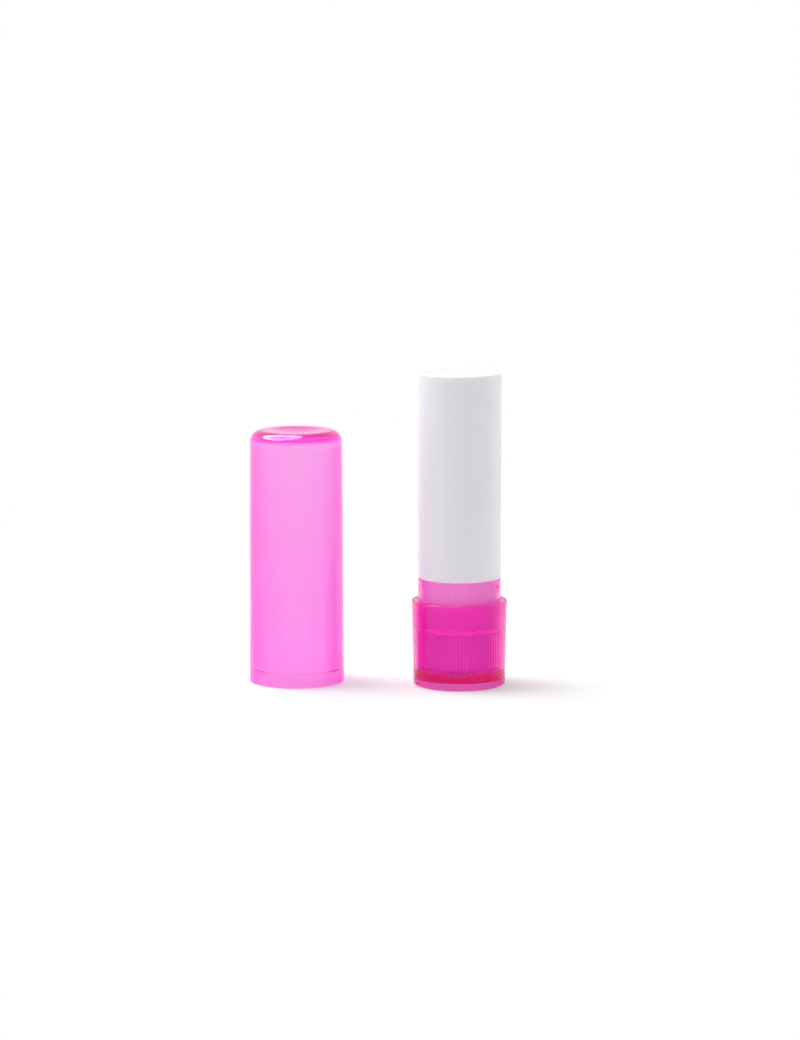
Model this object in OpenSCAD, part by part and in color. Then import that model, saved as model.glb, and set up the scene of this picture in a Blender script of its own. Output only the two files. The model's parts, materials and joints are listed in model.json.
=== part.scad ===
// Twist-up lip balm stick, with its cap standing beside it.
// A grip cup holds a ribbed sleeve and a lift screw. The barrel turns in the sleeve, and the
// screw drives the carrier and its balm up out of the barrel.
// Millimetres. The origin is the centre of the stick's foot, and +Z points up.

/* [Base cup] */
// Height of the cup, where the mouth of the cap lands
cup_h = 17; // [16:0.5:24]
// Thickness of the wall at the rim
cup_wall = 1; // [0.8:0.05:1.6]
// Thickness of the floor
cup_floor = 1.4; // [1:0.1:2.2]
// Depth of the recess under the floor
foot_recess = 1.5; // [0.6:0.1:2]
// Width of the ring that the cup stands on
foot_ring = 1.4; // [1.2:0.1:3]
// How much the radius narrows from the rim to the foot
cup_taper = 0.35; // [0:0.05:0.5]
// Rounding around the foot
foot_round = 0.5; // [0.2:0.1:0.8]

/* [Inner sleeve] */
// How far the collar that stands out of the cup is proud of the barrel, on the radius
collar_step = 0.02; // [0:0.01:0.1]
// Height of the collar above the cup
collar_h = 4.4; // [3.8:0.2:8]
// Thickness of the wall
sleeve_wall = 0.75; // [0.7:0.05:1]
// Thickness of the floor
sleeve_floor = 0.8; // [0.7:0.1:2]
// Number of press ribs around the sleeve
rib_count = 76; // [36:4:96]
// Length of the press ribs
rib_len = 7.85; // [5:0.05:9]
// How far the press ribs stand out past the collar
rib_rise = 0.15; // [0.05:0.05:0.3]
// Depth of the valleys between the press ribs
rib_depth = 0.22; // [0.1:0.02:0.3]
// Height of the plain band above the press ribs
band_h = 1.05; // [0.8:0.05:1.6]
// Number of bumps that hold the cap
bump_count = 4; // [2:1:6]
// Width of a bump
bump_d = 1; // [0.6:0.1:1.4]
// How far a bump stands out of the collar
bump_rise = 0.28; // [0.1:0.02:0.4]
// Height of the bumps above the rim of the cup
bump_h = 3; // [2:0.1:3.2]

/* [Barrel] */
// Diameter of the barrel, which the collar, the cup and the cap follow
barrel_d = 16.5; // [15:0.02:20]
// Height of the barrel above the collar
barrel_h = 40.9; // [32:1:60]
// Thickness of the wall of the spigot that turns in the sleeve
spigot_wall = 0.72; // [0.6:0.04:1]
// Number of keys that stop the carrier turning in the barrel
key_count = 4; // [2:1:6]
// Width of a key
key_w = 0.8; // [0.5:0.1:1.5]
// Height of a key above the bore
key_h = 0.45; // [0.3:0.05:0.6]
// Smooth length of the bore above the keys
mouth_h = 8; // [4:1:12]

/* [Lift screw] */
// Diameter over the crests of the thread
thread_d = 5.2; // [4.4:0.2:6.4]
// Depth of the thread
thread_depth = 0.8; // [0.5:0.1:1]
// Rise of the thread in one turn
thread_lead = 5; // [4:0.5:8]
// Number of starts
thread_starts = 2; // [1:1:3]
// Diameter of the flange at the foot of the screw
flange_d = 8.4; // [7:0.2:10]
// Thickness of the flange
flange_h = 0.8; // [0.6:0.1:1.2]
// Width of the square peg that holds the screw in the sleeve
peg_w = 3.6; // [2.6:0.2:4.4]

/* [Balm carrier] */
// Height of the carrier
carrier_h = 10; // [8:0.5:12]
// Thickness of the skirt
skirt_wall = 0.85; // [0.8:0.05:1.2]
// Height of the nut in the middle
nut_h = 5.4; // [4:0.2:7]
// Thickness of the wall of the nut
nut_wall = 1; // [0.8:0.1:1.4]
// Thickness of the web between the nut and the skirt
web_h = 1; // [0.8:0.1:1.4]

/* [Balm] */
// Depth of the balm's top face below the rim of the barrel
balm_drop = 0.15; // [0:0.05:1.5]
// Solid balm above the tip of the screw
balm_tip_h = 6; // [4:0.5:12]
// Rounding of the edge of the top face
balm_round = 0.3; // [0.1:0.1:0.8]

/* [Cap] */
// Height of the cap
cap_h = 50.6; // [49:0.2:72]
// How much the radius narrows from the mouth to the closed end
cap_taper = 0.35; // [0:0.05:0.4]
// Thickness of the closed end under its rim
cap_end = 1; // [0.9:0.1:2]
// Rounding of the shoulder
shoulder_round = 2.4; // [1.6:0.2:3.2]
// Diameter of the dish in the closed end
dish_d = 10.4; // [6:0.2:12]
// Depth of the dish
dish_depth = 0.5; // [0.2:0.05:0.6]
// Height of the groove that the bumps click into
groove_h = 0.7; // [0.6:0.05:1]
// Place of the cap to the left of the stick
cap_x = -32.5; // [-60:0.5:-24]
// Place of the cap behind the stick
cap_y = 3.2; // [-10:0.2:10]

/* [Fits] */
// Gap between the barrel's spigot and the sleeve, on the radius
run_gap = 0.08; // [0.05:0.01:0.1]
// Gap around the carrier in the barrel
slide_gap = 0.15; // [0.1:0.01:0.2]
// Gap around the balm in the barrel, on the radius
balm_gap = 0.1; // [0.06:0.01:0.2]
// Gap between the screw and the thread of the nut
thread_gap = 0.2; // [0.15:0.01:0.25]
// Gap between pieces that are pressed together
press_gap = 0.02; // [0.01:0.01:0.04]
// Gap between the collar and the wall of the cup at the rim, past the press ribs
rim_gap = 0.08; // [0.02:0.01:0.2]
// Gap between the bore of the cap and the collar, on the radius
cap_gap = 0.2; // [0.15:0.01:0.25]
// Gap under the shoulder of the barrel
shoulder_gap = 0.1; // [0.05:0.01:0.2]
// Gap under the carrier and under the spigot, when wound down
rest_gap = 0.3; // [0.2:0.05:0.4]

/* [Hidden] */
$fn = 96;

// Steps of a rounded corner in a profile, and slices of the thread in one turn
arc_steps = 8;
turn_steps = 16;
// Length by which cuts run past the faces that they open
overrun = 0.5;

// Small edges of the sleeve, a part of its wall
collar_edge = sleeve_wall / 3;

// Levels of the stick, from the foot up
sleeve_z = foot_recess + cup_floor;
flange_z = sleeve_z + sleeve_floor;
thread_z = flange_z + flange_h;
carrier_z = thread_z + rest_gap;
web_z = carrier_z + nut_h - web_h;
plug_z = carrier_z + nut_h;
skirt_top_z = carrier_z + carrier_h;
rib_z = sleeve_z + collar_edge;
band_z = rib_z + rib_len;
bump_z = cup_h + bump_h;
sleeve_top_z = cup_h + collar_h;
shoulder_z = sleeve_top_z + shoulder_gap;
barrel_top_z = shoulder_z + barrel_h;
key_top_z = barrel_top_z - mouth_h;
balm_top_z = barrel_top_z - balm_drop;
screw_top_z = balm_top_z - balm_tip_h;

// Radii of the stick, from the barrel and the collar outwards and inwards
barrel_r = barrel_d / 2;
collar_r = barrel_r + collar_step;
rib_tip_r = collar_r + rib_rise;
rib_root_r = rib_tip_r - rib_depth;
cup_bore_r = rib_tip_r + press_gap;
rim_bore_r = cup_bore_r + rim_gap;
rim_r = rim_bore_r + cup_wall;
foot_r = rim_r - cup_taper;
recess_r = foot_r - foot_ring;
sleeve_bore_r = collar_r - sleeve_wall;
spigot_r = sleeve_bore_r - run_gap;
bore_r = spigot_r - spigot_wall;
key_r = bore_r - key_h;
skirt_r = bore_r - slide_gap;
plug_r = skirt_r - skirt_wall;
balm_r = bore_r - balm_gap;

// Snap bead of the spigot, which turns in a groove inside the plain band of the sleeve
bead_rise = 0.2;
bead_h = band_h - sleeve_wall / 3;
bead_z = band_z + (band_h - bead_h) / 2;

// Thread: shares of the pitch that the crest and the root take
crest_share = 0.24;
root_share = 0.3;
thread_r = thread_d / 2;
core_r = thread_r - thread_depth;
thread_pitch = thread_lead / thread_starts;
nut_r = thread_r + thread_gap + nut_wall;

// Press ribs: shares of the rib's pitch that the tip and the root take
tip_share = 0.3;
valley_share = 0.26;

// Small edges of the other pieces, each a part of the wall that carries it
cup_edge = cup_wall / 5;
spigot_edge = spigot_wall / 3;
barrel_edge = spigot_wall / 3;
skirt_edge = skirt_wall / 3;

// Rounding inside the closed end of the cap, as a share of the rounding of its shoulder
ceiling_share = 0.58;

// Radii of the cap; its bore clears the collar, and its mouth is as wide as the cup's rim
cap_bore_r = collar_r + cap_gap;
cap_mouth_r = rim_r;
cap_top_r = cap_mouth_r - cap_taper;
cap_wall = cap_top_r - cap_bore_r;
cap_edge = cap_wall / 3;
groove_depth = cap_wall / 5;
groove_z = bump_h - groove_h / 2;
ceiling_round = ceiling_share * shoulder_round;
dish_r = dish_d / 2;

// Directions of the bumps round the collar, from the front towards the right
bump_turn = -24;

// Points of an arc about c, with radius r, from angle a to angle b
function arc(c, r, a, b) =
    [for (i = [0 : arc_steps]) let (t = a + (b - a) * i / arc_steps) c + r * [cos(t), sin(t)]];

// Point at a share of one pitch past copy i, out of n copies round the axis
function ring_point(i, n, share, r) =
    let (t = 360 * (i + share) / n) r * [cos(t), sin(t)];

// Turn of the thread at height z
function thread_turn(z) = 360 * (z - thread_z) / thread_lead;

// Section of the thread, with its flanks and radii moved out by a gap
module thread_section(gap) {
    crest = crest_share / 2 + gap / thread_pitch;
    root = root_share / 2 - gap / thread_pitch;
    middle = 1 / 2;
    polygon([for (i = [0 : thread_starts - 1]) each [
        ring_point(i, thread_starts, -crest, thread_r + gap),
        ring_point(i, thread_starts, 0, thread_r + gap),
        ring_point(i, thread_starts, crest, thread_r + gap),
        ring_point(i, thread_starts, middle - root, core_r + gap),
        ring_point(i, thread_starts, middle, core_r + gap),
        ring_point(i, thread_starts, middle + root, core_r + gap)
    ]]);
}

// Right-hand thread from height z, in step with every other length of the same thread
module thread(z, h, gap = 0) {
    translate([0, 0, z]) rotate(thread_turn(z))
        linear_extrude(height = h, twist = -360 * h / thread_lead,
                       slices = ceil(turn_steps * h / thread_lead), segments = 6 * thread_starts)
            thread_section(gap);
}

// Bars round the axis, from radius r outwards, that the keys fit with the given gap
module key_bars(r, z, h, gap = 0) {
    for (i = [0 : key_count - 1]) rotate(360 * i / key_count)
        translate([r, -key_w / 2 - gap, z]) cube([bore_r + overrun - r, key_w + 2 * gap, h]);
}

// Grip cup, drawn in a little towards a foot that is a ring round a shallow recess
module base_cup() {
    color("#e23bb4") rotate_extrude() polygon(concat(
        [[0, foot_recess], [recess_r, foot_recess], [recess_r, cup_edge], [recess_r + cup_edge, 0]],
        arc([foot_r - foot_round, foot_round], foot_round, -90, 0),
        arc([rim_r - cup_edge, cup_h - cup_edge], cup_edge, 0, 90),
        [[rim_bore_r, cup_h], [cup_bore_r, band_z + band_h], [cup_bore_r, sleeve_z], [0, sleeve_z]]
    ));
}

// Section of the press ribs
module rib_section() {
    polygon([for (i = [0 : rib_count - 1]) each [
        ring_point(i, rib_count, -tip_share / 2, rib_tip_r),
        ring_point(i, rib_count, tip_share / 2, rib_tip_r),
        ring_point(i, rib_count, 1 / 2 - valley_share / 2, rib_root_r),
        ring_point(i, rib_count, 1 / 2 + valley_share / 2, rib_root_r)
    ]]);
}

// Bump on the collar: the cap of a ball that is bump_d wide and stands out by bump_rise
module bump() {
    ball_r = (bump_d * bump_d / 4 + bump_rise * bump_rise) / (2 * bump_rise);
    translate([0, -(collar_r + bump_rise - ball_r), bump_z]) sphere(r = ball_r);
}

// Sleeve pressed into the cup: ribs, a plain band, and the collar that the cap clicks over
module inner_sleeve() {
    color("#ee7cc6") difference() {
        union() {
            rotate_extrude() polygon(concat(
                [[0, sleeve_z], [rib_root_r - collar_edge, sleeve_z], [rib_root_r, sleeve_z + collar_edge],
                 [rib_root_r, band_z + band_h], [collar_r, band_z + band_h]],
                arc([collar_r - collar_edge, sleeve_top_z - collar_edge], collar_edge, 0, 90),
                [[0, sleeve_top_z]]
            ));
            translate([0, 0, rib_z]) linear_extrude(rib_len) rib_section();
            for (i = [0 : bump_count - 1]) rotate(bump_turn + 360 * i / bump_count) bump();
        }
        rotate_extrude() polygon([
            [0, flange_z], [sleeve_bore_r, flange_z],
            [sleeve_bore_r, bead_z - bead_rise - run_gap],
            [sleeve_bore_r + bead_rise, bead_z - run_gap],
            [sleeve_bore_r + bead_rise, bead_z + bead_h + run_gap],
            [sleeve_bore_r, bead_z + bead_h + bead_rise + run_gap],
            [sleeve_bore_r, sleeve_top_z + overrun], [0, sleeve_top_z + overrun]
        ]);
        peg_hole = peg_w + 2 * press_gap;
        translate([-peg_hole / 2, -peg_hole / 2, sleeve_z - overrun])
            cube([peg_hole, peg_hole, sleeve_floor + 2 * overrun]);
    }
}

// Screw that stands on the sleeve's floor and runs up the middle of the balm
module lift_screw() {
    color("#f4f4f2") {
        translate([-peg_w / 2, -peg_w / 2, sleeve_z]) cube([peg_w, peg_w, sleeve_floor]);
        translate([0, 0, flange_z]) cylinder(d = flange_d, h = flange_h);
        thread(thread_z, screw_top_z - thread_z);
    }
}

// Barrel: a plain tube on a thinner spigot with a snap bead, and keys down its bore
module barrel() {
    spigot_z = flange_z + rest_gap;
    color("#eef0f4") {
        rotate_extrude() polygon(concat(
            [[bore_r, spigot_z], [spigot_r - spigot_edge, spigot_z], [spigot_r, spigot_z + spigot_edge],
             [spigot_r, bead_z - bead_rise], [spigot_r + bead_rise, bead_z],
             [spigot_r + bead_rise, bead_z + bead_h], [spigot_r, bead_z + bead_h + bead_rise],
             [spigot_r, shoulder_z], [barrel_r, shoulder_z]],
            arc([barrel_r - barrel_edge, barrel_top_z - barrel_edge], barrel_edge, 0, 90),
            arc([bore_r + barrel_edge, barrel_top_z - barrel_edge], barrel_edge, 90, 180)
        ));
        intersection() {
            key_bars(key_r, spigot_z, key_top_z - spigot_z);
            translate([0, 0, spigot_z]) cylinder(r = bore_r + spigot_wall / 2, h = key_top_z - spigot_z);
        }
    }
}

// Carrier: a nut on the screw, a skirt that slides on the keys, and a seat for the balm
module balm_carrier() {
    color("#fafaf7") difference() {
        rotate_extrude() polygon([
            [0, carrier_z], [nut_r, carrier_z], [nut_r, web_z], [plug_r, web_z], [plug_r, carrier_z],
            [skirt_r - skirt_edge, carrier_z], [skirt_r, carrier_z + skirt_edge],
            [skirt_r, skirt_top_z - skirt_edge], [skirt_r - skirt_edge, skirt_top_z],
            [plug_r, skirt_top_z], [plug_r, plug_z], [0, plug_z]
        ]);
        thread(carrier_z - overrun, nut_h + 2 * overrun, thread_gap);
        key_bars(key_r - slide_gap, carrier_z - overrun, carrier_h + 2 * overrun, slide_gap);
    }
}

// Balm cast round the screw, with a plug in the carrier and a groove for each key
module balm_stick() {
    color("#f7f8f6") difference() {
        rotate_extrude() polygon(concat(
            [[0, plug_z], [plug_r, plug_z], [plug_r, skirt_top_z], [balm_r, skirt_top_z]],
            arc([balm_r - balm_round, balm_top_z - balm_round], balm_round, 0, 90),
            [[0, balm_top_z]]
        ));
        translate([0, 0, plug_z - overrun])
            cylinder(r = thread_r + thread_gap, h = screw_top_z - plug_z + 2 * overrun);
        key_bars(key_r - slide_gap, skirt_top_z - overrun,
                 key_top_z + rest_gap + overrun - skirt_top_z, slide_gap);
    }
}

// Cap: a drafted shell with a round shoulder, a shallow dish in its end and a groove at its mouth
module cap() {
    ceiling_z = cap_h - cap_end;
    dish_ball_r = (dish_r * dish_r + dish_depth * dish_depth) / (2 * dish_depth);
    dish_angle = asin(dish_r / dish_ball_r);
    color("#f38fe0") translate([cap_x, cap_y, 0]) rotate_extrude() polygon(concat(
        arc([cap_mouth_r - cap_edge, cap_edge], cap_edge, -90, 0),
        arc([cap_top_r - shoulder_round, cap_h - shoulder_round], shoulder_round, 0, 90),
        arc([0, cap_h - dish_depth + dish_ball_r], dish_ball_r, -90 + dish_angle, -90),
        [[0, ceiling_z]],
        arc([cap_bore_r - ceiling_round, ceiling_z - ceiling_round], ceiling_round, 90, 0),
        [[cap_bore_r, groove_z + groove_h],
         [cap_bore_r + groove_depth, groove_z + groove_h - groove_depth],
         [cap_bore_r + groove_depth, groove_z + groove_depth],
         [cap_bore_r, groove_z], [cap_bore_r, 0]]
    ));
}

base_cup();
inner_sleeve();
lift_screw();
barrel();
balm_carrier();
balm_stick();
cap();
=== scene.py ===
# Looks of a twist-up lip balm stick and its cap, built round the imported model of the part.
# Each piece is turned from a rounded outline. What repeats round it, such as ribs, bumps and keys,
# is pushed out of its surface by Geometry Nodes.
import json
from math import ceil, cos, pi, radians, sin, tan

import bmesh
import bpy
from bpy.props import FloatProperty, FloatVectorProperty, IntProperty, PointerProperty
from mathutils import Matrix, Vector

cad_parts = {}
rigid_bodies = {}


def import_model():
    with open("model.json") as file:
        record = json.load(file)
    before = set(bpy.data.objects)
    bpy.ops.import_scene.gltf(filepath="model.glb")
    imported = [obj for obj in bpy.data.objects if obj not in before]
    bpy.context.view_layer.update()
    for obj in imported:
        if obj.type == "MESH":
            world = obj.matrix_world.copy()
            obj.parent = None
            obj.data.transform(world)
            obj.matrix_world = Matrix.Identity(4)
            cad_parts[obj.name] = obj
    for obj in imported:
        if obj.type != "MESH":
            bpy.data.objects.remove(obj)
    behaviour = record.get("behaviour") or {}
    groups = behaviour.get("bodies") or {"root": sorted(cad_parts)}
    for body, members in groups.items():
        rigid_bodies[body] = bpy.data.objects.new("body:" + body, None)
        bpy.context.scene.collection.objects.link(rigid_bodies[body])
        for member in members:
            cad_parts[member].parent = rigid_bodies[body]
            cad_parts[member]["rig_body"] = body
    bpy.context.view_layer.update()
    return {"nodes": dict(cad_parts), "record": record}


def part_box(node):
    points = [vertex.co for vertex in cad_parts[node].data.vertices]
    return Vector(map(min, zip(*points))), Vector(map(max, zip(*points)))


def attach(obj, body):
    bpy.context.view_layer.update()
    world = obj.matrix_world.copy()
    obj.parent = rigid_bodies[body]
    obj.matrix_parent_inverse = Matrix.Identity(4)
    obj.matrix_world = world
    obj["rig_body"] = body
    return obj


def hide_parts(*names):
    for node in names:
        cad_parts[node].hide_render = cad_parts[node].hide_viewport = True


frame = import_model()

bl_info = {
    "name": "Lip Balm Stick",
    "version": (1, 0, 0),
    "blender": (4, 5, 0),
    "location": "View3D > Sidebar > Lip Balm",
    "description": "Builds the pieces, finishes and studio of a twist-up lip balm stick",
    "category": "Object",
}

MM = 0.001


def turned_box(node):
    """Centre, radius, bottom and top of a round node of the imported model."""
    low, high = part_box(node)
    centre = Vector(((low.x + high.x) / 2, (low.y + high.y) / 2, 0))
    return centre, (high.x - low.x) / 2, low.z, high.z


def bore_of(name):
    """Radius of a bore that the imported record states."""
    mount = next(m for m in frame["record"]["mounts"] if m["name"] == name)
    return mount["dims"]["r_mm"] * MM


CAP_CENTRE, CAP_RADIUS, CAP_FOOT, CAP_TOP = turned_box("cap")
CUP_CENTRE, CUP_RADIUS, CUP_FOOT, CUP_TOP = turned_box("base_cup")
SLEEVE_FOOT, SLEEVE_TOP = turned_box("inner_sleeve")[2:]
BARREL_RADIUS, SPIGOT_FOOT, BARREL_TOP = turned_box("barrel")[1:]
BALM_RADIUS, BALM_FOOT, BALM_TOP = turned_box("balm_stick")[1:]
CAP_BORE = bore_of("cap_bore")

# How far the sleeve's collar stands out past the barrel, and how high its foot stands over the
# cup's floor
COLLAR_STEP = 0.02 * MM
SEAT_GAP = 0.01 * MM
COLLAR_RADIUS = BARREL_RADIUS + COLLAR_STEP

# Radius that parts the inside of a wall from its outside, in the cap and the cup, and in the
# sleeve
SHELL_MIDDLE = 8.8 * MM
SLEEVE_MIDDLE = 7.8 * MM

# Faces round a plain piece, round one with keys or their grooves, and round one rib
AROUND = 192
KEYED_AROUND = 288
RIB_AROUND = 8

# Heights over which the ribs and the keys come in at an end. The outlines have a ring on either
# side of it.
RIB_FADE = 0.03 * MM
KEY_FADE = 0.05 * MM


def measured(name, description, metres):
    """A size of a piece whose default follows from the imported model, in metres."""
    return FloatProperty(name=name, description=description, default=metres,
                         min=0, unit="LENGTH", precision=5)


def length(name, description, millimetres):
    """A size, in metres, from its default in millimetres."""
    return measured(name, description, millimetres * MM)


def coordinate(name, description, metres):
    """A place along an axis, on either side of the origin."""
    return FloatProperty(name=name, description=description, default=metres,
                         unit="LENGTH", precision=5)


def share(name, description, default):
    """A number from 0 to 1."""
    return FloatProperty(name=name, description=description, default=default, min=0, max=1)


def level(name, description, default):
    """A brightness or a density."""
    return FloatProperty(name=name, description=description, default=default, min=0)


def turn(name, description, degrees):
    """An angle, from its default in degrees."""
    return FloatProperty(name=name, description=description, default=radians(degrees),
                         subtype="ANGLE")


def colour(name, description, default):
    """A linear colour."""
    return FloatVectorProperty(name=name, description=description, default=default,
                               subtype="COLOR", size=3, min=0, max=1)


class LipBalmPlastic(bpy.types.PropertyGroup):
    """Dye and polish of the clear pink mouldings, and the glow and shade painted on them."""
    cap_dye: colour("Cap Dye", "Colour that the cap lets through", (0.975, 0.08, 0.86))
    cup_dye: colour("Cup Dye", "Colour that the cup lets through", (0.957, 0.2, 0.76))
    sleeve_dye: colour("Sleeve Dye", "Colour that the sleeve lets through", (0.95, 0.3, 0.77))
    cap_density: level("Cap Density", "Strength of the dye in the cap, per metre", 620)
    cup_density: level("Cup Density", "Strength of the dye in the grip cup, per metre", 1100)
    sleeve_density: level("Sleeve Density", "Strength of the dye in the sleeve, per metre", 760)
    tint: colour("Tint", "Colour of the surface itself", (1.0, 0.93, 0.98))
    # Painted glow: emission that makes the mouldings glow though they are no lamp. Its colour
    # comes first, then its brightness on each piece.
    glow: colour("Glow", "Light that the dye gives back", (1.0, 0.0, 0.62))
    cap_glow: level("Cap Glow", "Brightness of that light at the sides of the cap", 0.22)
    cup_glow: level("Cup Glow", "Brightness of that light on the cup", 0.15)
    sleeve_glow: level("Sleeve Glow", "Brightness of that light on the sleeve", 0.18)
    # Painted glow at the rims: emission at the rims' heights, in place of light gathered in the
    # walls
    rim_glow: colour("Rim Glow", "Light that is gathered in the walls and leaves at their rims",
                     (0.09, 0.0, 0.05))
    shine: colour("Shine", "Colour of what the surface mirrors", (1.0, 0.42, 0.85))
    # Painted shade: darkens the colour of the cup towards its silhouette
    cup_shade: share("Cup Shade", "How much the sides of the cup dim what is seen through", 0.75)
    end_tint: colour("End Tint", "Colour of the surface of the cap's closed end",
                     (1.0, 0.36, 0.84))
    ior: FloatProperty(name="Refraction", description="Index of refraction", default=1.49, min=1)
    polish: share("Polish", "Roughness of the outside of a moulding", 0.08)
    frost: share("Frost", "Roughness of the inside of the cap and the sleeve", 0.3)
    end_polish: share("End Polish", "Roughness of the inside of the cap's closed end", 0.1)
    bore_polish: share("Bore Polish", "Roughness of the inside of the cup", 0.12)


class LipBalmWhite(bpy.types.PropertyGroup):
    """Finish of the opaque white pieces."""
    barrel: colour("Barrel Colour", "Colour of the barrel", (0.885, 0.895, 0.94))
    barrel_satin: share("Barrel Satin", "Roughness of the barrel", 0.36)
    barrel_depth: length("Barrel Depth", "How deep light goes into the barrel", 1.2)
    wax: colour("Balm Colour", "Colour of the balm", (0.83, 0.835, 0.86))
    wax_satin: share("Balm Satin", "Roughness of the balm", 0.45)
    wax_depth: length("Balm Depth", "How deep light goes into the balm", 2.0)
    screw: colour("Screw Colour", "Colour of the lift screw", (0.86, 0.86, 0.84))
    carrier: colour("Carrier Colour", "Colour of the balm carrier", (0.88, 0.88, 0.86))
    works_satin: share("Works Satin", "Roughness of the screw and the carrier", 0.4)
    works_depth: length("Works Depth", "How deep light goes into those two", 1.0)


class LipBalmCap(bpy.types.PropertyGroup):
    """Sizes of the cap."""
    taper: length("Taper", "How much the radius narrows to the closed end", 0.35)
    shoulder: length("Shoulder", "Rounding of the shoulder", 2.4)
    lip: length("Lip", "Rounding between the shoulder's rim and the dish", 0.6)
    dish_radius: length("Dish Radius", "Radius of the dish in the closed end", 5.2)
    dish_depth: length("Dish Depth", "Depth of the dish", 0.5)
    end: length("End", "Thickness of the closed end", 1.0)
    end_round: length("End Rounding", "Rounding inside the closed end", 1.39)
    edge: length("Mouth Edge", "Rounding of the mouth", 0.25)
    groove_height: length("Groove Height", "Height of the groove for the bumps", 0.7)
    groove_depth: length("Groove Depth", "Depth of the groove", 0.15)
    groove_middle: length("Groove Middle", "Height of the groove's middle above the mouth", 3.0)


class LipBalmCup(bpy.types.PropertyGroup):
    """Sizes of the grip cup."""
    taper: length("Taper", "How much the radius narrows to the foot", 0.35)
    recess: length("Recess", "Depth of the recess under the floor", 1.5)
    ring: length("Foot Ring", "Width of the ring round the recess", 1.4)
    foot_round: length("Foot Rounding", "Rounding around the foot", 0.5)
    floor_round: length("Floor Rounding", "Rounding between the floor and the wall", 0.4)
    edge: length("Rim Edge", "Rounding of the rim", 0.18)
    bore: measured("Bore", "Radius of the bore round the press ribs", COLLAR_RADIUS + 0.17 * MM)
    rim_bore: measured("Rim Bore", "Radius of the bore at the rim", COLLAR_RADIUS + 0.25 * MM)


class LipBalmSleeve(bpy.types.PropertyGroup):
    """Sizes of the ribbed sleeve."""
    collar: measured("Collar", "Radius of the collar", COLLAR_RADIUS)
    bore: measured("Bore", "Radius of the bore", COLLAR_RADIUS - 0.75 * MM)
    floor: length("Floor", "Thickness of the floor", 0.8)
    edge: length("Edge", "Rounding of the collar's edge", 0.22)
    root: measured("Rib Root", "Radius between the ribs", COLLAR_RADIUS - 0.07 * MM)
    rib_count: IntProperty(name="Ribs", description="Number of press ribs", default=76, min=3)
    rib_rise: length("Rib Rise", "How far the ribs stand out of their root", 0.07)
    # Painted shade: a thin dark line painted down each valley between the ribs
    mark: share("Valley Mark", "How much darker the valleys between the ribs are", 0.3)
    rib_foot: length("Rib Foot", "Height at which the ribs start", 3.15)
    rib_top: length("Rib Top", "Height at which the ribs end", 11.0)
    band_top: length("Band Top", "Height at which the plain band ends", 12.05)
    band_slope: length("Band Slope", "Height over which the band widens to the collar", 0.15)
    bump_count: IntProperty(name="Bumps", description="Bumps that hold the cap", default=4, min=1)
    bump_turn: turn("Bump Turn", "Direction of the first bump from the front", -24)
    bump_middle: length("Bump Middle", "Height of the bumps", 20.0)
    bump_width: length("Bump Width", "Width of a bump", 1.0)
    bump_rise: length("Bump Rise", "How far a bump stands out", 0.28)
    peg_hole: length("Peg Hole", "Width of the square hole for the screw's peg", 3.64)
    bead_groove: length("Bead Groove", "Depth of the groove for the barrel's bead", 0.2)
    bead_gap: length("Bead Gap", "Play of the bead in its groove, above and below", 0.08)


class LipBalmBarrel(bpy.types.PropertyGroup):
    """Sizes of the barrel."""
    bore: measured("Bore", "Radius of the bore", COLLAR_RADIUS - 1.55 * MM)
    spigot: measured("Spigot", "Radius of the spigot in the sleeve", COLLAR_RADIUS - 0.83 * MM)
    shoulder: length("Shoulder", "Height of the shoulder over the collar", 21.5)
    shoulder_edge: length("Shoulder Edge", "Rounding of the shoulder", 0.1)
    edge: length("Edge", "Rounding of the mouth", 0.24)
    bead_rise: length("Bead Rise", "How far the snap bead stands out", 0.2)
    bead_foot: length("Bead Foot", "Height at which the snap bead starts", 11.1)
    bead_top: length("Bead Top", "Height at which the snap bead ends", 11.9)
    key_count: IntProperty(name="Keys", description="Keys down the bore", default=4, min=1)
    key_width: length("Key Width", "Width of a key", 0.8)
    key_rise: length("Key Rise", "How far a key stands into the bore", 0.45)
    key_top: length("Key Top", "Height at which the keys end", 54.4)


class LipBalmWax(bpy.types.PropertyGroup):
    """Sizes of the balm."""
    plug: measured("Plug", "Radius of the plug in the carrier", COLLAR_RADIUS - 2.55 * MM)
    seat: length("Seat", "Height of the carrier's top, where the balm widens", 14.8)
    edge: length("Edge", "Rounding of the top edge", 0.04)
    rim_gap: length("Rim Gap", "Gap between the top of the balm and the bore", 0.03)
    rim_height: length("Rim Height", "Height of the part that comes so near to the bore", 2.0)
    screw_hole: length("Screw Hole", "Radius of the hole round the screw", 2.8)
    screw_top: length("Screw Top", "Height of the end of that hole", 56.75)
    groove_width: length("Groove Width", "Width of the groove round a key", 1.1)
    groove_depth: length("Groove Depth", "Depth of that groove", 0.5)
    groove_top: length("Groove Top", "Height at which the grooves end", 54.7)
    climb: length("Climb", "How far the cast top face climbs the bore round it", 0.1)
    dip: length("Dip", "Sag of the middle of the cast top face", 0.12)


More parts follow.
